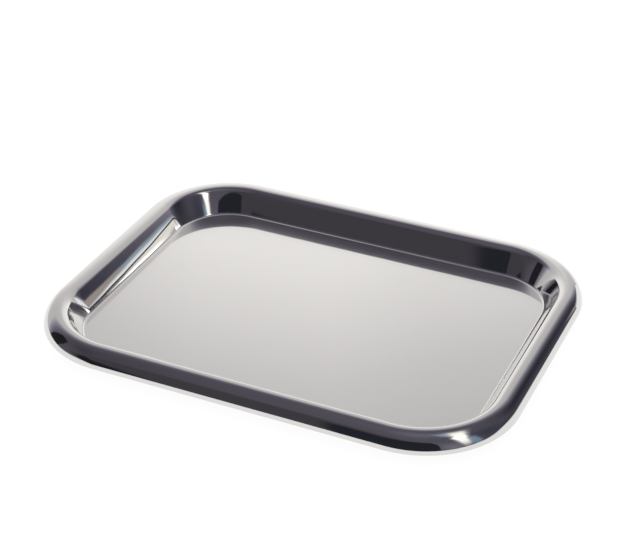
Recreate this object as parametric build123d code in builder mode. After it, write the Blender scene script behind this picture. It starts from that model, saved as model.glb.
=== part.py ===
"""Rectangular serving tray, mirror-polished 18/10 stainless steel.

The pan is one deep-drawn sheet: the flat floor, the leaning wall, which
bellies a little into the well, and the fat rounded rim, which is tight on the
well side, falls away in a wide arc and is rolled under at its outer edge. A
pressed ring closes the rim from below, so that the rim is hollow. The ring is
butt welded to the rolled edge all the way round, steps down to a flat land
under the edge of the floor, on which the tray stands, and is seam welded to
the floor along the land's inner edge, so no water gets into the rim.

Frame: millimetres, +Z up, long side along X. The origin is the middle of the
standing plane, so the land's underside is at Z = 0.
"""
from build123d import *

import os
from math import cos, hypot, radians, sin, tan

# Driving dimensions
LENGTH = 450.0             # over the rim, along X
WIDTH = 348.0              # over the rim, along Y
CORNER_RADIUS = 89.0       # plan radius of the rim's outermost line
SHEET = 0.8                # gauge of the pan and of the ring

CREST_HEIGHT = 24.2        # rim's crest above the floor's upper face
INNER_CROWN_RADIUS = 8.6   # outside radius of the rim, from the wall to the crest
OUTER_CROWN_RADIUS = 16.2  # outside radius, from the crest out to the roll
ROLL_START = 12.0          # the roll takes over where the rim faces this far above level, degrees
ROLL_RADIUS = 3.2          # outside radius of the edge rolled under
ROLL_TAIL = 3.0            # flat end of the rolled edge
WALL_SLANT = 29.0          # wall's lean from upright, from its foot to its top, degrees
WALL_BELLY = 3.0           # it leans this much less at the foot and more at the top, degrees
FOOT_RADIUS = 3.0          # wall to floor, on the well side

LAND_INSET = 47.0          # land's inner edge, in from the rim's outermost line
LAND_WIDTH = 14.0          # flat that the tray stands on
STEP_RUN = 7.0             # the ring's step rises to the rim over this width
STEP_RADIUS = 4.0          # both bends of the step

WELD_WIDTH = 1.2           # butt weld metal between the rolled edge and the ring
WELD_CROWN = 0.25          # its height above the sheets inside the rim; ground flush outside
FILLET_LEG = 0.7           # leg of the fillet weld at the land's inner edge

# Derived sizes. A section lies in (distance from the corner's axis, height).
FLOOR_TOP = 2 * SHEET      # the land, then the floor on it
CREST_Z = FLOOR_TOP + CREST_HEIGHT
ROLL_ANGLE = radians(ROLL_START)
ROLL_OFFSET = OUTER_CROWN_RADIUS - ROLL_RADIUS
ROLL_CENTRE = CORNER_RADIUS - ROLL_RADIUS
CREST = ROLL_CENTRE - ROLL_OFFSET * cos(ROLL_ANGLE)
OUTER_CROWN_Z = CREST_Z - OUTER_CROWN_RADIUS
ROLL_Z = OUTER_CROWN_Z + ROLL_OFFSET * sin(ROLL_ANGLE)
RIM_BOTTOM = ROLL_Z - ROLL_RADIUS
ROLLED_EDGE = ROLL_CENTRE - ROLL_TAIL
RING_EDGE = ROLLED_EDGE - WELD_WIDTH
LAND_START = CORNER_RADIUS - LAND_INSET
LAND_END = LAND_START + LAND_WIDTH

TOP_LEAN = radians(WALL_SLANT + WALL_BELLY)
FOOT_LEAN = radians(WALL_SLANT - WALL_BELLY)
INNER_CROWN_Z = CREST_Z - INNER_CROWN_RADIUS
WALL_TOP = CREST - INNER_CROWN_RADIUS * cos(TOP_LEAN)
WALL_TOP_Z = INNER_CROWN_Z + INNER_CROWN_RADIUS * sin(TOP_LEAN)
WALL_FOOT_Z = FLOOR_TOP + FOOT_RADIUS * (1 - sin(FOOT_LEAN))
WALL_RISE = WALL_TOP_Z - WALL_FOOT_Z
WALL_RUN = WALL_RISE * tan(radians(WALL_SLANT))
WALL_ARC_RADIUS = hypot(WALL_RISE, WALL_RUN) / 2 / sin(radians(WALL_BELLY))
FLOOR_EDGE = WALL_TOP - WALL_RUN - FOOT_RADIUS * cos(FOOT_LEAN)

# Plan: the four corner axes, anticlockwise from +X +Y, each with the length
# of the straight side that follows it.
AXIS_X = LENGTH / 2 - CORNER_RADIUS
AXIS_Y = WIDTH / 2 - CORNER_RADIUS
CORNERS = [
    (AXIS_X, AXIS_Y, 2 * AXIS_X),
    (-AXIS_X, AXIS_Y, 2 * AXIS_Y),
    (-AXIS_X, -AXIS_Y, 2 * AXIS_X),
    (AXIS_X, -AXIS_Y, 2 * AXIS_Y),
]
QUARTER_TURN = 90.0


def upright_plane(axis_x, axis_y, heading):
    """Upright plane through a corner's axis, whose x runs outwards at heading."""
    outwards = Vector(1, 0, 0).rotate(Axis.Z, heading)
    return Plane(origin=(axis_x, axis_y, 0), x_dir=outwards, z_dir=outwards.cross(Vector(0, 0, 1)))


def carry_round_tray(section):
    """Carry a section round the tray: a quarter turn at each corner, then the straight side."""
    for number, (axis_x, axis_y, side_length) in enumerate(CORNERS):
        heading = number * QUARTER_TURN
        with BuildSketch(upright_plane(axis_x, axis_y, heading)) as corner_start:
            add(section)
        revolve(
            corner_start.sketch,
            axis=Axis((axis_x, axis_y, 0), (0, 0, 1)),
            revolution_arc=QUARTER_TURN,
        )
        with BuildSketch(upright_plane(axis_x, axis_y, heading + QUARTER_TURN)) as side_start:
            add(section)
        extrude(side_start.sketch, amount=-side_length)


# Sections. Pan: from the floor's edge up the wall, over the crown and round the rolled edge.
with BuildSketch() as pan_section:
    with BuildLine():
        foot_turn = 90 - WALL_SLANT + WALL_BELLY
        crown_turn = 90 - WALL_SLANT - WALL_BELLY
        foot = CenterArc((FLOOR_EDGE, FLOOR_TOP + FOOT_RADIUS), FOOT_RADIUS, -90, foot_turn)
        RadiusArc(foot @ 1, (WALL_TOP, WALL_TOP_Z), WALL_ARC_RADIUS)
        CenterArc((CREST, INNER_CROWN_Z), INNER_CROWN_RADIUS, 90 + crown_turn, -crown_turn)
        CenterArc((CREST, OUTER_CROWN_Z), OUTER_CROWN_RADIUS, 90, ROLL_START - 90)
        CenterArc((ROLL_CENTRE, ROLL_Z), ROLL_RADIUS, ROLL_START, -90 - ROLL_START)
        Line((ROLL_CENTRE, RIM_BOTTOM), (ROLLED_EDGE, RIM_BOTTOM))
        offset(amount=SHEET, side=Side.LEFT)
    make_face()

# Ring: flat land, step up, and the flat strip that ends at the butt weld.
with BuildSketch() as ring_section:
    with BuildLine():
        FilletPolyline(
            (LAND_START, 0),
            (LAND_END, 0),
            (LAND_END + STEP_RUN, RIM_BOTTOM),
            (RING_EDGE, RIM_BOTTOM),
            radius=STEP_RADIUS,
        )
        offset(amount=SHEET, side=Side.LEFT)
    make_face()

# Butt weld: metal between the sheets' edges, crowned inside the rim and flush outside.
with BuildSketch() as butt_weld_section:
    with BuildLine():
        sides = Polyline(
            (RING_EDGE, RIM_BOTTOM + SHEET),
            (RING_EDGE, RIM_BOTTOM),
            (ROLLED_EDGE, RIM_BOTTOM),
            (ROLLED_EDGE, RIM_BOTTOM + SHEET),
        )
        crown_top = ((RING_EDGE + ROLLED_EDGE) / 2, RIM_BOTTOM + SHEET + WELD_CROWN)
        ThreePointArc(sides @ 1, crown_top, sides @ 0)
    make_face()

# Fillet weld: a hollow-faced fillet between the land's inner edge and the floor's underside.
with BuildSketch() as fillet_weld_section:
    with BuildLine():
        legs = Polyline(
            (LAND_START, SHEET - FILLET_LEG),
            (LAND_START, SHEET),
            (LAND_START - FILLET_LEG, SHEET),
        )
        RadiusArc(legs @ 1, legs @ 0, 2 * FILLET_LEG)
    make_face()

# The pan: floor, wall, crown and rolled edge, one sheet.
floor_inset = CORNER_RADIUS - FLOOR_EDGE
with BuildPart() as tray_pan:
    carry_round_tray(pan_section.sketch)
    with BuildSketch(Plane.XY.offset(SHEET)):
        RectangleRounded(LENGTH - 2 * floor_inset, WIDTH - 2 * floor_inset, FLOOR_EDGE)
    extrude(amount=SHEET)
tray_pan.part.label = "tray_pan"

# The ring that closes the rim from below and carries the standing land.
with BuildPart() as rim_closing_ring:
    carry_round_tray(ring_section.sketch)
rim_closing_ring.part.label = "rim_closing_ring"

# Butt weld between the rolled edge and the ring, under the rim.
with BuildPart() as rim_seam_weld:
    carry_round_tray(butt_weld_section.sketch)
rim_seam_weld.part.label = "rim_seam_weld"

# Fillet weld along the land's inner edge, under the floor.
with BuildPart() as land_seam_weld:
    carry_round_tray(fillet_weld_section.sketch)
land_seam_weld.part.label = "land_seam_weld"

os.makedirs("parts", exist_ok=True)
for piece in (tray_pan, rim_closing_ring, rim_seam_weld, land_seam_weld):
    export_step(piece.part, f"parts/{piece.part.label}.step")
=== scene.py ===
"""Rectangular serving tray in mirror-polished stainless steel, standing on a white table in a light tent.

Four pieces, as on the bench: the drawn pan, the ring that closes its rim from below, the butt weld
between the two and the fillet weld under the floor. Each is one section carried round the tray.
"""

import math

import bpy
import numpy as np
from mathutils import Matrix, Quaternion, Vector


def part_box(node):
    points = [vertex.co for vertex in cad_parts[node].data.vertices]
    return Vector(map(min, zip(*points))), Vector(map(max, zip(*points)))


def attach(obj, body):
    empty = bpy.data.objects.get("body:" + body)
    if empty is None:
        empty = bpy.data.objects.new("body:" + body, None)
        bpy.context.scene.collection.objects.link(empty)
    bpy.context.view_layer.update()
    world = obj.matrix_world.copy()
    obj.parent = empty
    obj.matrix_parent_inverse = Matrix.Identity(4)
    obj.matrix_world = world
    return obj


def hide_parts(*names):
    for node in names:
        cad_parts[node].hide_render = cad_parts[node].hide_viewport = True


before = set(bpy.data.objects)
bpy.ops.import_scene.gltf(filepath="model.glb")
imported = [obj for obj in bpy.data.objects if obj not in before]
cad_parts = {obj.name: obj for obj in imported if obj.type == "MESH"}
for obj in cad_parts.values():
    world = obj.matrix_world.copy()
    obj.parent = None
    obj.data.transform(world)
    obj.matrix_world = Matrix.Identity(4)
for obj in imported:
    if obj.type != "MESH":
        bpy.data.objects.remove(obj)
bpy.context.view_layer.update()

MM = 0.001

# ---------------------------------------------------------------- sizes, in metres
PAN_LOW, PAN_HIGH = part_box("tray_pan")
SHEET = 0.8 * MM                      # gauge of the pan and of the ring
EDGE_ROUND = 0.1 * MM                 # deburred edges of the sheet
CORNER_RADIUS = 89 * MM               # plan radius of the rim's outermost line
INNER_CROWN = 8.6 * MM                # outside radius from the wall to the crest
OUTER_CROWN = 16.2 * MM               # outside radius from the crest out to the roll
ROLL = 3.2 * MM                       # outside radius of the edge rolled under
ROLL_START = 12                       # the roll begins where the rim faces this far above level, degrees
ROLL_TAIL = 3 * MM                    # flat end of the rolled edge
WALL_SLANT = 29                       # wall's lean from upright, degrees
WALL_BELLY = 3                        # it leans this much less at its foot, and this much more at its top
FOOT = 3 * MM                         # wall to floor, on the well side
LAND_INSET = 47 * MM                  # standing land's inner edge, in from the rim's outermost line
LAND_WIDTH = 14 * MM
STEP_RUN = 7 * MM                     # the ring's step rises to the rim over this width
STEP_BEND = 4 * MM
WELD_WIDTH = 1.2 * MM                 # butt weld between the rolled edge and the ring
WELD_CROWN = 0.25 * MM                # its height above the sheets inside the rim
FILLET_LEG = 0.7 * MM                 # fillet weld at the land's inner edge
RIPPLE_PITCH = 1.6 * MM               # one ripple of weld metal to the next
RIPPLE_BOW = 0.4                      # its ends lie this much of the pitch further on than its middle
BEAD_POINTS = 7                       # points across a bead's face

AXIS_X = PAN_HIGH.x - CORNER_RADIUS   # the four corner axes stand at (+-AXIS_X, +-AXIS_Y)
AXIS_Y = PAN_HIGH.y - CORNER_RADIUS
FLOOR_TOP = PAN_LOW.z + SHEET
CREST_Z = PAN_HIGH.z
ROLL_CENTRE = CORNER_RADIUS - ROLL
CREST = ROLL_CENTRE - (OUTER_CROWN - ROLL) * math.cos(math.radians(ROLL_START))
ROLL_Z = CREST_Z - OUTER_CROWN + (OUTER_CROWN - ROLL) * math.sin(math.radians(ROLL_START))
RIM_BOTTOM = ROLL_Z - ROLL
ROLLED_EDGE = ROLL_CENTRE - ROLL_TAIL
RING_EDGE = ROLLED_EDGE - WELD_WIDTH
LAND_START = CORNER_RADIUS - LAND_INSET
TOP_LEAN = math.radians(WALL_SLANT + WALL_BELLY)
FOOT_LEAN = math.radians(WALL_SLANT - WALL_BELLY)
WALL_TOP = CREST - INNER_CROWN * math.cos(TOP_LEAN)
WALL_TOP_Z = CREST_Z - INNER_CROWN + INNER_CROWN * math.sin(TOP_LEAN)
WALL_FOOT_Z = FLOOR_TOP + FOOT * (1 - math.sin(FOOT_LEAN))
WALL_RISE = WALL_TOP_Z - WALL_FOOT_Z
WALL_RUN = WALL_RISE * math.tan(math.radians(WALL_SLANT))
WALL_ARC = math.hypot(WALL_RISE, WALL_RUN) / 2 / math.sin(math.radians(WALL_BELLY))
FLOOR_EDGE = WALL_TOP - WALL_RUN - FOOT * math.cos(FOOT_LEAN)


# ---------------------------------------------------------------- sections and the way round
def outline(start, heading, moves):
    """A section walked from start. Headings are degrees in the (outwards, up) plane.

    A move (length, steps) goes straight on. A move (radius, turn, steps) goes round an arc, to the left
    where turn is positive. Returns the points and, for each, the direction on the walker's left, which is
    the way the sheet's surface faces.
    """
    points, headings = [np.array([start], float)], [np.array([heading], float)]
    for move in moves:
        here, facing = points[-1][-1], headings[-1][-1]
        share = np.arange(1, move[-1] + 1) / move[-1]
        if len(move) == 2:
            ahead = np.array([math.cos(math.radians(facing)), math.sin(math.radians(facing))])
            points.append(here + share[:, None] * move[0] * ahead)
            headings.append(np.full(move[-1], facing))
        else:
            radius, turn = move[0] * np.sign(move[1]), move[1]
            centre = here + radius * left_of(np.array([facing]))[0]
            angles = facing + share * turn
            points.append(centre - radius * left_of(angles))
            headings.append(angles)
    return np.concatenate(points), left_of(np.concatenate(headings))


def left_of(heading):
    """Unit vectors a quarter turn to the left of each heading."""
    angle = np.radians(heading)
    return np.stack([-np.sin(angle), np.cos(angle)], axis=-1)


def way_round(corner_steps, long_steps, short_steps):
    """The way round the tray, anticlockwise: a quarter turn about a corner axis, then the side after it.

    Returns the axis points and the outward unit vectors. A point at distance r from the corner axis is
    axis + r * outward, on the sides as well as on the corners.
    """
    corners = [(AXIS_X, AXIS_Y), (-AXIS_X, AXIS_Y), (-AXIS_X, -AXIS_Y), (AXIS_X, -AXIS_Y)]
    axes, outward = [], []
    for number, corner in enumerate(corners):
        following = np.array(corners[(number + 1) % 4])
        turn = np.radians(90 * (number + np.arange(corner_steps) / corner_steps))
        axes.append(np.tile(corner, (corner_steps, 1)))
        outward.append(np.stack([np.cos(turn), np.sin(turn)], axis=-1))
        side_steps = short_steps if number % 2 else long_steps
        share = (np.arange(side_steps) / side_steps)[:, None]
        axes.append(corner + share * (following - corner))
        end = math.radians(90 * (number + 1))
        outward.append(np.tile([math.cos(end), math.sin(end)], (side_steps, 1)))
    return np.concatenate(axes), np.concatenate(outward)


def carry(section, facing, axes, outward):
    """Carries a section round the tray, row by row, with its normals.

    A point of the section is (distance, height), and lies at axis + distance * outward, at that height.
    """
    flat = axes[None] + section[:, :1, None] * outward[None]
    height = np.broadcast_to(section[:, 1:, None], flat.shape[:2] + (1,))
    tilt = facing[:, :1, None] * outward[None]
    upward = np.broadcast_to(facing[:, 1:, None], flat.shape[:2] + (1,))
    return np.concatenate([flat, height], axis=2), np.concatenate([tilt, upward], axis=2)


def walked(axes, outward, distance):
    """Distance walked along the line that lies at this distance from the corner axes, from its start."""
    line = axes + distance * outward
    steps = np.linalg.norm(np.roll(line, -1, axis=0) - line, axis=1)
    return np.concatenate([[0], np.cumsum(steps)])


def grid_faces(rows, columns, closed_rows):
    """Quads of a grid whose columns close on themselves, and its rows too where closed_rows is true."""
    low = np.arange(rows if closed_rows else rows - 1)[:, None]
    here = np.arange(columns)[None]
    high, after = (low + 1) % rows, (here + 1) % columns
    quads = [low * columns + here, high * columns + here, high * columns + after, low * columns + after]
    return np.stack(np.broadcast_arrays(*quads), axis=-1).reshape(-1, 4)


def add_mesh(name, points, faces, normals=None):
    """Puts points and faces into a mesh object, with these normals where they are given."""
    mesh = bpy.data.meshes.new(name)
    mesh.from_pydata(points.tolist(), [], faces)
    mesh.shade_smooth()
    if normals is not None:
        mesh.normals_split_custom_set_from_vertices(normals.tolist())
    piece = bpy.data.objects.new(name, mesh)
    bpy.context.scene.collection.objects.link(piece)
    return piece


def paint_lengths(piece, walk, climb):
    """UV map "sheet_metres": metres walked round the tray and metres climbed along the section.

    walk has one more column than the grid, so that the last quads end at the full way round.
    """
    rows, columns = len(climb), len(walk) - 1
    low, here = np.meshgrid(np.arange(rows - 1), np.arange(columns), indexing="ij")
    corners = [(low, here), (low + 1, here), (low + 1, here + 1), (low, here + 1)]
    quads = np.stack([np.stack([walk[b], climb[a]], axis=-1) for a, b in corners], axis=2)
    layer = piece.data.uv_layers.new(name="sheet_metres")
    uv = np.zeros((len(piece.data.loops), 2))
    uv[:quads.size // 2] = quads.reshape(-1, 2)
    layer.data.foreach_set("uv", uv.ravel())


# ---------------------------------------------------------------- pieces
def make_pan():
    """The drawn sheet: one closed skin from the middle of the floor, over the rim, and back underneath.

    Upper side: floor, foot arc, leaning wall, tight inner crown, wide outer crown, edge rolled under.
    Then across the sheet's edge and back along the hollow side at one gauge's distance.
    """
    foot_turn = 90 - WALL_SLANT + WALL_BELLY
    crown_turn = 90 - WALL_SLANT - WALL_BELLY
    fall = 90 - ROLL_START
    moves = [
        (FOOT, foot_turn, 12),
        (WALL_ARC, -2 * WALL_BELLY, 12),
        (INNER_CROWN, -crown_turn, 20),
        (OUTER_CROWN, -fall, 30),
        (ROLL, -90 - ROLL_START, 22),
        (ROLL_TAIL - EDGE_ROUND, 2),
        (EDGE_ROUND, -90, 3),
        (SHEET - 2 * EDGE_ROUND, 1),
        (EDGE_ROUND, -90, 3),
        (ROLL_TAIL - EDGE_ROUND, 2),
        (ROLL - SHEET, 90 + ROLL_START, 8),
        (OUTER_CROWN - SHEET, fall, 8),
        (INNER_CROWN - SHEET, crown_turn, 6),
        (WALL_ARC - SHEET, 2 * WALL_BELLY, 4),
        (FOOT + SHEET, -foot_turn, 6),
    ]
    section, facing = outline((FLOOR_EDGE, FLOOR_TOP), 0, moves)
    axes, outward = way_round(corner_steps=56, long_steps=24, short_steps=16)
    skin, normals = carry(section, facing, axes, outward)
    floor_rings = np.array([0.25, 0.5, 0.75, 0.94])
    upper = skin[0] * np.array([1, 1, 0]) * floor_rings[:, None, None] + np.array([0, 0, FLOOR_TOP])
    lower = skin[-1] * np.array([1, 1, 0]) * floor_rings[::-1, None, None] + np.array([0, 0, PAN_LOW.z])
    up, down = np.broadcast_to([0, 0, 1.0], upper.shape), np.broadcast_to([0, 0, -1.0], lower.shape)
    skin = np.concatenate([upper, skin, lower])
    normals = np.concatenate([up, normals, down])
    rows, columns = skin.shape[:2]
    points = np.concatenate([skin.reshape(-1, 3), [[0, 0, FLOOR_TOP], [0, 0, PAN_LOW.z]]])
    normals = np.concatenate([normals.reshape(-1, 3), [[0, 0, 1], [0, 0, -1]]])
    here = np.arange(columns)
    after = (here + 1) % columns
    last = (rows - 1) * columns
    top_fan = np.stack([np.full(columns, rows * columns), here, after], axis=-1)
    under_fan = np.stack([np.full(columns, rows * columns + 1), last + after, last + here], axis=-1)
    faces = grid_faces(rows, columns, False).tolist() + top_fan.tolist() + under_fan.tolist()
    piece = add_mesh("tray_pan_polished", points, faces, normals)
    climb = np.concatenate([[0], np.cumsum(np.linalg.norm(np.diff(skin[:, 0], axis=0), axis=1))])
    paint_lengths(piece, walked(axes, outward, CORNER_RADIUS), climb)
    return piece


def make_ring():
    """The pressed ring: flat strip, bend, step down, bend, standing land, and back along the upper side."""
    rise = math.degrees(math.atan2(RIM_BOTTOM, STEP_RUN))
    reach = STEP_BEND * math.tan(math.radians(rise) / 2)
    strip = RING_EDGE - LAND_START - LAND_WIDTH - STEP_RUN - reach - EDGE_ROUND
    slope = math.hypot(STEP_RUN, RIM_BOTTOM) - 2 * reach
    land = LAND_WIDTH - reach - EDGE_ROUND
    edge = [(EDGE_ROUND, -90, 3), (SHEET - 2 * EDGE_ROUND, 1), (EDGE_ROUND, -90, 3)]
    under = [(strip, 3), (STEP_BEND, rise, 10), (slope, 3), (STEP_BEND, -rise, 10), (land, 3)]
    over = [(land, 3), (STEP_BEND - SHEET, rise, 8), (slope, 3), (STEP_BEND + SHEET, -rise, 8), (strip, 3)]
    start = (RING_EDGE - EDGE_ROUND, RIM_BOTTOM)
    section, facing = outline(start, 180, under + edge + over + edge)
    axes, outward = way_round(corner_steps=48, long_steps=16, short_steps=10)
    skin, normals = carry(section[:-1], facing[:-1], axes, outward)
    faces = grid_faces(*skin.shape[:2], True).tolist()
    return add_mesh("rim_closing_ring_pressed", skin.reshape(-1, 3), faces, normals.reshape(-1, 3))


def ripple(walk, across, height):
    """Weld ripples: crescents, each a parabola along the pitch, with their ends on the bead's edges."""
    phase = (walk[None] / RIPPLE_PITCH - RIPPLE_BOW * across[:, None] ** 2) % 1
    return height * (4 * phase * (1 - phase) - 0.5)


def make_weld(name, section, facing, across, ripple_height, distance):
    """A bead: its section carried round the tray, raised and sunk along its face by the ripples.

    across runs from -1 to 1 over the bead's open face, and the ripples fade to nothing at both ends.
    """
    # About five steps to a ripple, and more in the corners.
    axes, outward = way_round(corner_steps=400, long_steps=840, short_steps=528)
    skin, normals = carry(section, facing, axes, outward)
    fade = np.clip(1 - across**2, 0, 1)
    lift = ripple(walked(axes, outward, distance)[:-1], across, ripple_height) * fade[:, None]
    skin = skin + normals * lift[..., None]
    return add_mesh(name, skin.reshape(-1, 3), grid_faces(*skin.shape[:2], True).tolist())


def make_rim_seam_weld():
    """Butt weld under the rim: flush and ground on the outside, an arched bead inside the rim."""
    half = WELD_WIDTH / 2
    middle = RING_EDGE + half
    share = np.linspace(-1, 1, BEAD_POINTS)
    outside = np.stack([middle - share * half, np.full(BEAD_POINTS, RIM_BOTTOM)], axis=-1)
    inside = np.stack([middle + share * half, RIM_BOTTOM + SHEET + WELD_CROWN * (1 - share**2)], axis=-1)
    section = np.concatenate([outside, inside])
    facing = np.repeat([[0.0, -1.0], [0.0, 1.0]], BEAD_POINTS, axis=0)
    across = np.concatenate([share, share])
    return make_weld("rim_seam_weld_bead", section, facing, across, ripple_height=0.06 * MM,
                     distance=middle)


def make_land_seam_weld():
    """Fillet weld at the land's inner edge: two legs and a hollow face.

    The face is a parabola as deep as an arc of two legs' radius is over the same chord.
    """
    share = np.linspace(0, 1, BEAD_POINTS)
    start = np.array([LAND_START, SHEET - FILLET_LEG])
    end = np.array([LAND_START - FILLET_LEG, SHEET])
    chord = start + share[:, None] * (end - start)
    hollow = 2 * FILLET_LEG - math.sqrt((2 * FILLET_LEG) ** 2 - FILLET_LEG**2 / 2)
    inward = np.array([1, 1]) / math.sqrt(2)
    face = chord + (4 * share * (1 - share) * hollow)[:, None] * inward
    section = np.concatenate([face, [[LAND_START, SHEET]]])
    facing = np.concatenate([np.tile(-inward, (BEAD_POINTS, 1)), [[0, 0]]])
    across = np.concatenate([2 * share - 1, [1]])
    return make_weld("land_seam_weld_bead", section, facing, across, ripple_height=0.08 * MM,
                     distance=LAND_START)


# ---------------------------------------------------------------- materials
def linear(colour):
    """sRGB hex to linear RGB."""
    value = np.array([int(colour[i:i + 2], 16) for i in (1, 3, 5)]) / 255
    return np.where(value <= 0.04045, value / 12.92, ((value + 0.055) / 1.055) ** 2.4)


def rgba(colour):
    """sRGB hex to linear RGB with full alpha."""
    return (*linear(colour), 1)


def node(tree, kind, settings=None, **inputs):
    """Adds a node. settings are its own properties, and inputs are its sockets, by name or as _number.

    An input is a value or another node's output.
    """
    made = tree.nodes.new(kind)
    for name, value in (settings or {}).items():
        setattr(made, name, value)
    for name, value in inputs.items():
        socket = made.inputs[int(name[1:])] if name[1:].isdigit() else made.inputs[name.replace("_", " ")]
        if isinstance(value, bpy.types.NodeSocket):
            tree.links.new(value, socket)
        else:
            socket.default_value = value
    return made


def new_material(name):
    """A material with an empty node tree."""
    material = bpy.data.materials.new(name)
    material.use_nodes = True
    tree = material.node_tree
    tree.nodes.clear()
    return material, tree


def mirror_polished_steel():
    """18/10 stainless steel, buffed to a mirror: it shows the room, a little bent where it was drawn.

    The eye sees four faint things in it: long soft waves left by drawing and buffing, hairlines from
    the mop and from wiping, a thin haze that differs from place to place, and a bloom on the floor.
    """
    material, tree = new_material("stainless_18_10_mirror_buffed")
    place = node(tree, "ShaderNodeTexCoord").outputs["Object"]
    lengths = node(tree, "ShaderNodeUVMap", {"uv_map": "sheet_metres"}).outputs["UV"]

    # Waves about 45 mm long and a few hundredths of a millimetre high.
    waves = node(tree, "ShaderNodeTexNoise", Vector=place, Scale=1 / (45 * MM), Detail=1.0)
    # Hairlines 0.5 mm apart and some 40 mm long; real ones are finer and would not show.
    stretch = node(tree, "ShaderNodeMapping", {"vector_type": "POINT"}, Vector=lengths,
                   Scale=(1 / (40 * MM), 1 / (0.5 * MM), 1))
    hairlines = node(tree, "ShaderNodeTexNoise", Vector=stretch.outputs["Vector"], Scale=1.0, Detail=2.0)
    haze = node(tree, "ShaderNodeTexNoise", Vector=place, Scale=1 / (30 * MM), Detail=4.0)

    rough = node(tree, "ShaderNodeMapRange", Value=haze.outputs["Fac"],
                 From_Min=0.3, From_Max=0.7, To_Min=0.006, To_Max=0.016)
    lined = node(tree, "ShaderNodeMath", {"operation": "MULTIPLY_ADD"}, _0=hairlines.outputs["Fac"],
                 _1=0.01, _2=rough.outputs["Result"])
    wavy = node(tree, "ShaderNodeBump", Height=waves.outputs["Fac"], Distance=0.1 * MM, Strength=1.0)
    fine = node(tree, "ShaderNodeBump", Height=hairlines.outputs["Fac"], Distance=0.0001 * MM, Strength=1.0,
                Normal=wavy.outputs["Normal"])
    # The floor keeps the wide faint bloom of the rolled sheet, and the mop took most of it off the wall
    # and the rim. It fades over the foot and the lowest part of the wall.
    height = node(tree, "ShaderNodeSeparateXYZ", Vector=place).outputs["Z"]
    bloom = node(tree, "ShaderNodeMapRange", Value=height, From_Min=FLOOR_TOP + 0.5 * MM,
                 From_Max=FLOOR_TOP + 3 * MM, To_Min=1.0, To_Max=0.15)
    steel = node(tree, "ShaderNodeBsdfPrincipled", Base_Color=rgba("#d9d8d6"), Metallic=1.0,
                 Roughness=lined.outputs["Value"], Normal=fine.outputs["Normal"],
                 Coat_Weight=bloom.outputs["Result"], Coat_Roughness=0.18, Coat_IOR=2.2)
    node(tree, "ShaderNodeOutputMaterial", Surface=steel.outputs["BSDF"])
    return material


def pressed_satin_steel():
    """18/10 stainless steel as it comes from the press: a soft grey sheen, with the rolling grain."""
    material, tree = new_material("stainless_18_10_pressed_satin")
    place = node(tree, "ShaderNodeTexCoord").outputs["Object"]
    # Rolling grain: streaks 0.4 mm apart and 25 mm long, along the tray.
    stretch = node(tree, "ShaderNodeMapping", Vector=place,
                   Scale=(1 / (25 * MM), 1 / (0.4 * MM), 1 / (0.4 * MM)))
    grain = node(tree, "ShaderNodeTexNoise", Vector=stretch.outputs["Vector"], Scale=1.0, Detail=3.0)
    clouds = node(tree, "ShaderNodeTexNoise", Vector=place, Scale=1 / (18 * MM), Detail=4.0)
    tone = node(tree, "ShaderNodeMix", {"data_type": "RGBA"}, Factor=clouds.outputs["Fac"],
                _6=rgba("#c2c1be"), _7=rgba("#cfcecb"))
    rough = node(tree, "ShaderNodeMapRange", Value=grain.outputs["Fac"],
                 From_Min=0.3, From_Max=0.7, To_Min=0.20, To_Max=0.32)
    bump = node(tree, "ShaderNodeBump", Height=grain.outputs["Fac"], Distance=0.003 * MM, Strength=1.0)
    steel = node(tree, "ShaderNodeBsdfPrincipled", Base_Color=tone.outputs[2], Metallic=1.0,
                 Roughness=rough.outputs["Result"], Normal=bump.outputs["Normal"])
    node(tree, "ShaderNodeOutputMaterial", Surface=steel.outputs["BSDF"])
    return material


def tig_weld_metal():
    """Weld metal laid with an electric arc and pickled: duller than the sheet, mottled straw and grey."""
    material, tree = new_material("stainless_weld_metal_pickled")
    place = node(tree, "ShaderNodeTexCoord").outputs["Object"]
    mottle = node(tree, "ShaderNodeTexNoise", Vector=place, Scale=1 / (5 * MM), Detail=3.0)
    frost = node(tree, "ShaderNodeTexNoise", Vector=place, Scale=1 / (0.3 * MM), Detail=2.0)
    tone = node(tree, "ShaderNodeMix", {"data_type": "RGBA"}, Factor=mottle.outputs["Fac"],
                _6=rgba("#aaa7a2"), _7=rgba("#bdb6a8"))
    rough = node(tree, "ShaderNodeMapRange", Value=mottle.outputs["Fac"],
                 From_Min=0.3, From_Max=0.7, To_Min=0.30, To_Max=0.45)
    bump = node(tree, "ShaderNodeBump", Height=frost.outputs["Fac"], Distance=0.01 * MM, Strength=1.0)
    metal = node(tree, "ShaderNodeBsdfPrincipled", Base_Color=tone.outputs[2], Metallic=1.0,
                 Roughness=rough.outputs["Result"], Normal=bump.outputs["Normal"])
    node(tree, "ShaderNodeOutputMaterial", Surface=metal.outputs["BSDF"])
    return material


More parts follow.
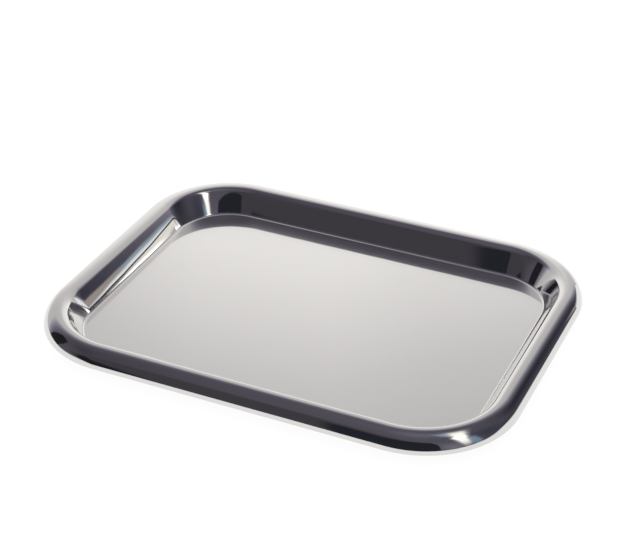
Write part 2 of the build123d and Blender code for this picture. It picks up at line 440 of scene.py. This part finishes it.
# ---------------------------------------------------------------- the light tent
# The tent is a half sphere of cloth round the tray. Its plan is drawn with the zenith in the middle:
# a place is (degrees from the zenith towards +X, degrees from the zenith towards +Y), so the table's
# level is a circle of 90. Colours are as the steel shows them, and TENT_STRENGTH makes up for what
# steel swallows.
TENT_RADIUS = 0.9
TENT_ROWS, TENT_COLUMNS = 180, 480
TENT_CAP = 0.25                       # its flat cap reaches this many degrees from the zenith
TENT_STRENGTH = 1.43
CLOTH = "#4d4a54"
GLOWS = [  # soft patches: middle, reach, colour
    ((10, -6), (16, 16), "#5f5e6b"),
    ((-42, -28), (14, 26), "#3b3841"),
    ((47, 46), (21, 24), "#2a2933"),
    ((84, 30), (16, 34), "#2b2b35"),
    ((66, 0), (20, 15), "#363844"),
    ((68, -46), (20, 16), "#696874"),
]
FLAGS = [  # dark boards: corners anticlockwise, colour, softness of the edge
    ([(-64, -96), (10, -96), (10, -43), (-64, -43)], "#3b393f", 6),
    ([(-60, -78), (-37, -80), (-38, -61), (-46, -50), (-56, -50)], "#1b1b20", 2),
    ([(-15, -93), (60, -93), (66, -67), (44, -46), (34, -41), (20, -44), (0, -48.5), (-12, -51.5)],
     "#202229", 1),
]
# The white backdrop is on the left-hand side of this line.
BACKDROP_EDGE = [(-110, -18), (-85, -2), (-60, 16), (-45, 21), (-30, 23), (-10, 30), (0, 37), (10, 41),
                 (19, 46), (25, 52), (28, 59), (29.5, 67), (30.5, 75), (33, 84), (35, 95)]
BACKDROP_DIM, BACKDROP_BRIGHT = "#ebe8fb", "#fffdfb"
DIM_UP_TO, BRIGHT_FROM = 0.2, 0.42    # brightness where the one colour ends and the other begins
BACKDROP_FALLOFF = (  # brightness at these distances in from the backdrop's edge
    [-20, -14, -9, -5, 0, 4, 12, 18, 24, 30, 45, 70, 90],
    [0, 0.02, 0.06, 0.14, 0.29, 0.39, 0.42, 0.48, 0.59, 0.70, 0.75, 0.77, 0.74],
)
BACKDROP_SPOTS = [  # middle, reach, how much is added to its brightness
    ((2, 88), (22, 14), 0.16),
    ((-86, 46), (16, 20), -0.2),
]
SIDE_FLAG = [(-98, -36), (-66, -29), (-56, -18), (-57, -4), (-98, -14)]  # stands before the backdrop
SIDE_FLAG_COLOUR, SIDE_FLAG_EDGE = "#1c1c21", 1.5
STRIP_LINE = [(8, 24), (18, 11), (28, 0), (40, -12), (52, -22), (63, -28), (74, -32), (90, -34)]
STRIPS = [  # strip lights: line, colour, half width from full to none, shares where it fades in and out
    ([(12, 4), (22, -3), (34, -14)], "#7f90a2", (1, 7), (0, 0.4), (0.6, 1)),
    ([(50, -14), (60, -19), (72, -21), (88, -22)], "#6f8296", (2, 9), (0, 0.25), (0.7, 1.3)),
    (STRIP_LINE, "#c9c4c0", (1, 9), (0.08, 0.4), (0.55, 1.0)),
    (STRIP_LINE, "#fffdf8", (2, 6), (0.14, 0.36), (0.62, 0.95)),
]
LOW_BOARDS = [  # white boards that stand on the table, on the left-hand side of each line
    [(64, 72), (70, 57), (76, 38), (82, 18), (88, 2), (91, -14)],
    [(-38, -90), (-46, -77), (-56, -66), (-70, -54), (-84, -38), (-93, -22)],
]
LOW_BOARD_COLOUR, LOW_BOARD_EDGE = "#dcdcdc", 2.5
BACK_BOARDS = [  # things that stand behind the tray: corners anticlockwise, colour, softness of the edge
    ([(36.5, 71.7), (47.6, 65.5), (52.9, 72.8), (40.9, 80.2)], "#8a96a3", 0.8),
    ([(46.5, 66.4), (55.5, 58.5), (59.5, 62), (48.8, 69.6)], "#928a88", 0.8),
    ([(30, 76.5), (47, 68), (58.5, 63.5), (66, 72), (38, 90)], "#dcdee0", 0.8),
]
LAMP = (44, -17)                      # a bare bulb
LAMP_REACH, LAMP_BRIGHTNESS = 3.5, 4


def ease(value, low, high):
    """0 below low and 1 above high, with an S-curve between them."""
    share = np.clip((value - low) / (high - low), 0, 1)
    return share * share * (3 - 2 * share)


def near_line(x, y, line):
    """Distance from a broken line, positive on its left, and the share of its length at the nearest place.

    Each run gives a distance by its dot product and cross product, and the smallest one is kept.
    """
    points = np.array(line, float)
    lengths = np.linalg.norm(np.diff(points, axis=0), axis=1)
    before = np.concatenate([[0], np.cumsum(lengths)])
    nearest = np.full(x.shape, np.inf)
    signed, share_along = np.zeros(x.shape), np.zeros(x.shape)
    for (x0, y0), (x1, y1), length, start in zip(points, points[1:], lengths, before):
        run, rise = (x1 - x0) / length, (y1 - y0) / length
        step = np.clip((x - x0) * run + (y - y0) * rise, 0, length)
        off_x, off_y = x - x0 - step * run, y - y0 - step * rise
        distance = np.hypot(off_x, off_y)
        nearer = distance < nearest
        signed = np.where(nearer, np.sign(run * off_y - rise * off_x) * distance, signed)
        share_along = np.where(nearer, (start + step) / before[-1], share_along)
        nearest = np.minimum(nearest, distance)
    return signed, share_along


def inside(x, y, corners, soft):
    """1 inside a convex board and 0 outside, with a soft edge."""
    cover = np.ones(x.shape)
    for (x0, y0), (x1, y1) in zip(corners, corners[1:] + corners[:1]):
        left = ((x1 - x0) * (y - y0) - (y1 - y0) * (x - x0)) / math.hypot(x1 - x0, y1 - y0)
        cover = cover * ease(left, -soft, soft)
    return cover


def bell(x, y, middle, reach):
    """1 at the middle, falling away on all sides: about a third is left one reach away."""
    return np.exp(-(((x - middle[0]) / reach[0]) ** 2 + ((y - middle[1]) / reach[1]) ** 2))


def lay(under, colour, cover):
    """Lays a colour over what is under it: all of it where cover is 1, and none where it is 0."""
    return under + (colour - under) * cover[..., None]


def tent_light(x, y):
    """Linear colour of the tent at places of its plan. The shapes are laid in the order of the lists."""
    light = np.ones(x.shape + (3,)) * linear(CLOTH)
    for middle, reach, colour in GLOWS:
        light = lay(light, linear(colour), bell(x, y, middle, reach))
    for corners, colour, soft in FLAGS:
        light = lay(light, linear(colour), inside(x, y, corners, soft))
    into, _ = near_line(x, y, BACKDROP_EDGE)
    level = np.interp(into, *BACKDROP_FALLOFF)
    for middle, reach, added in BACKDROP_SPOTS:
        level = level + added * bell(x, y, middle, reach)
    brightened = ease(level, DIM_UP_TO, BRIGHT_FROM)
    light = lay(light, lay(linear(BACKDROP_DIM), linear(BACKDROP_BRIGHT), brightened), level)
    light = lay(light, linear(SIDE_FLAG_COLOUR), inside(x, y, SIDE_FLAG, SIDE_FLAG_EDGE))
    for line, colour, (full, none), fade_in, fade_out in STRIPS:
        off, share = near_line(x, y, line)
        reach = ease(share, *fade_in) * (1 - ease(share, *fade_out))
        light = lay(light, linear(colour), (1 - ease(np.abs(off), full, none)) * reach)
    for line in LOW_BOARDS:
        into, _ = near_line(x, y, line)
        light = lay(light, linear(LOW_BOARD_COLOUR), ease(into, -LOW_BOARD_EDGE, LOW_BOARD_EDGE))
    for corners, colour, soft in BACK_BOARDS:
        light = lay(light, linear(colour), inside(x, y, corners, soft))
    return light + LAMP_BRIGHTNESS * bell(x, y, LAMP, (LAMP_REACH, LAMP_REACH))[..., None]


def make_tent():
    """Half sphere round the tray with tent_light in a colour attribute; only glossy metal sees it."""
    down = np.radians(np.linspace(TENT_CAP, 90, TENT_ROWS))[:, None]
    round_angle = np.radians(np.arange(TENT_COLUMNS) * 360 / TENT_COLUMNS)[None]
    points = np.stack(np.broadcast_arrays(np.sin(down) * np.sin(round_angle),
                                          np.sin(down) * np.cos(round_angle), np.cos(down)), axis=-1)
    x, y = np.degrees(down) * np.sin(round_angle), np.degrees(down) * np.cos(round_angle)
    light = tent_light(x, y)
    cap = [list(range(TENT_COLUMNS))]
    tent = add_mesh("light_tent", points.reshape(-1, 3) * TENT_RADIUS,
                    grid_faces(TENT_ROWS, TENT_COLUMNS, False).tolist() + cap)
    attribute = tent.data.attributes.new("tent_light", "FLOAT_COLOR", "POINT")
    colours = np.concatenate([light.reshape(-1, 3), np.ones((TENT_ROWS * TENT_COLUMNS, 1))], axis=1)
    attribute.data.foreach_set("color", colours.astype(np.float32).ravel())
    material, tree = new_material("tent_cloth_lit")
    material.cycles.emission_sampling = "NONE"
    seen = node(tree, "ShaderNodeAttribute", {"attribute_name": "tent_light"}).outputs["Color"]
    lit = node(tree, "ShaderNodeEmission", Color=seen, Strength=TENT_STRENGTH)
    node(tree, "ShaderNodeOutputMaterial", Surface=lit.outputs["Emission"])
    tent.data.materials.append(material)
    tent.visible_camera = False
    tent.visible_diffuse = False
    tent.visible_transmission = False
    tent.visible_volume_scatter = False
    tent.visible_shadow = False


def make_table():
    """A white translucent table, lit from below as well as from above, so that shadows stay faint."""
    half = 12.0
    level = -0.02 * MM                # just clear of the land, so that the two faces don't share a plane
    own_light = 0.88                  # share of its white that is its own light
    corners = [(-half, -half, level), (half, -half, level), (half, half, level), (-half, half, level)]
    table = add_mesh("white_table", np.array(corners), [[0, 1, 2, 3]])
    material, tree = new_material("opal_acrylic_lit_from_below")
    paint = node(tree, "ShaderNodeBsdfDiffuse", Color=rgba("#f4f4f4"))
    glow = node(tree, "ShaderNodeEmission", Color=rgba("#ffffff"), Strength=1.04)
    both = node(tree, "ShaderNodeMixShader", Fac=own_light, _1=paint.outputs["BSDF"],
                _2=glow.outputs["Emission"])
    node(tree, "ShaderNodeOutputMaterial", Surface=both.outputs["Shader"])
    table.data.materials.append(material)


def light_room():
    """An even white world, which the camera and the table see past the tent."""
    world = bpy.data.worlds.new("soft_white_room")
    bpy.context.scene.world = world
    world.use_nodes = True
    background = world.node_tree.nodes["Background"]
    background.inputs["Color"].default_value = rgba("#ffffff")
    background.inputs["Strength"].default_value = 1.0


# ---------------------------------------------------------------- camera
CAMERA_AZIMUTH = 24.19       # degrees round from straight in front, towards +X
CAMERA_ELEVATION = 33.06
CAMERA_ROLL = 0.34
CAMERA_DISTANCE = 1.4653     # from the middle of the floor
CAMERA_LENS = 91.41          # on a 36 mm sensor
CAMERA_SHIFT = (-0.00865, 0.05779)


def make_camera():
    """Looks at the middle of the floor from CAMERA_DISTANCE away."""
    azimuth, elevation = math.radians(CAMERA_AZIMUTH), math.radians(CAMERA_ELEVATION)
    back = Vector((math.sin(azimuth) * math.cos(elevation), -math.cos(azimuth) * math.cos(elevation),
                   math.sin(elevation)))
    camera = bpy.data.objects.new("camera", bpy.data.cameras.new("camera"))
    bpy.context.scene.collection.objects.link(camera)
    camera.location = Vector((0, 0, FLOOR_TOP)) + back * CAMERA_DISTANCE
    camera.rotation_mode = "QUATERNION"
    turn = Quaternion((0, 0, 1), math.radians(CAMERA_ROLL))
    camera.rotation_quaternion = back.to_track_quat("Z", "Y") @ turn
    camera.data.lens = CAMERA_LENS
    camera.data.sensor_width = 36
    camera.data.shift_x, camera.data.shift_y = CAMERA_SHIFT
    bpy.context.scene.camera = camera


# ---------------------------------------------------------------- the tray
mirror, satin, weld = mirror_polished_steel(), pressed_satin_steel(), tig_weld_metal()
PIECES = [  # piece, the CAD node that it stands for, material, slot
    (make_pan(), "tray_pan", mirror, "mirror_polished_steel"),
    (make_ring(), "rim_closing_ring", satin, "satin_steel"),
    (make_rim_seam_weld(), "rim_seam_weld", weld, "weld_metal"),
    (make_land_seam_weld(), "land_seam_weld", weld, "weld_metal"),
]
for piece, cad_node, material, slot in PIECES:
    piece.data.materials.append(material)
    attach(piece, "root")
    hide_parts(cad_node)

make_camera()
make_table()
make_tent()
light_room()
bpy.context.scene.view_settings.view_transform = "Standard"
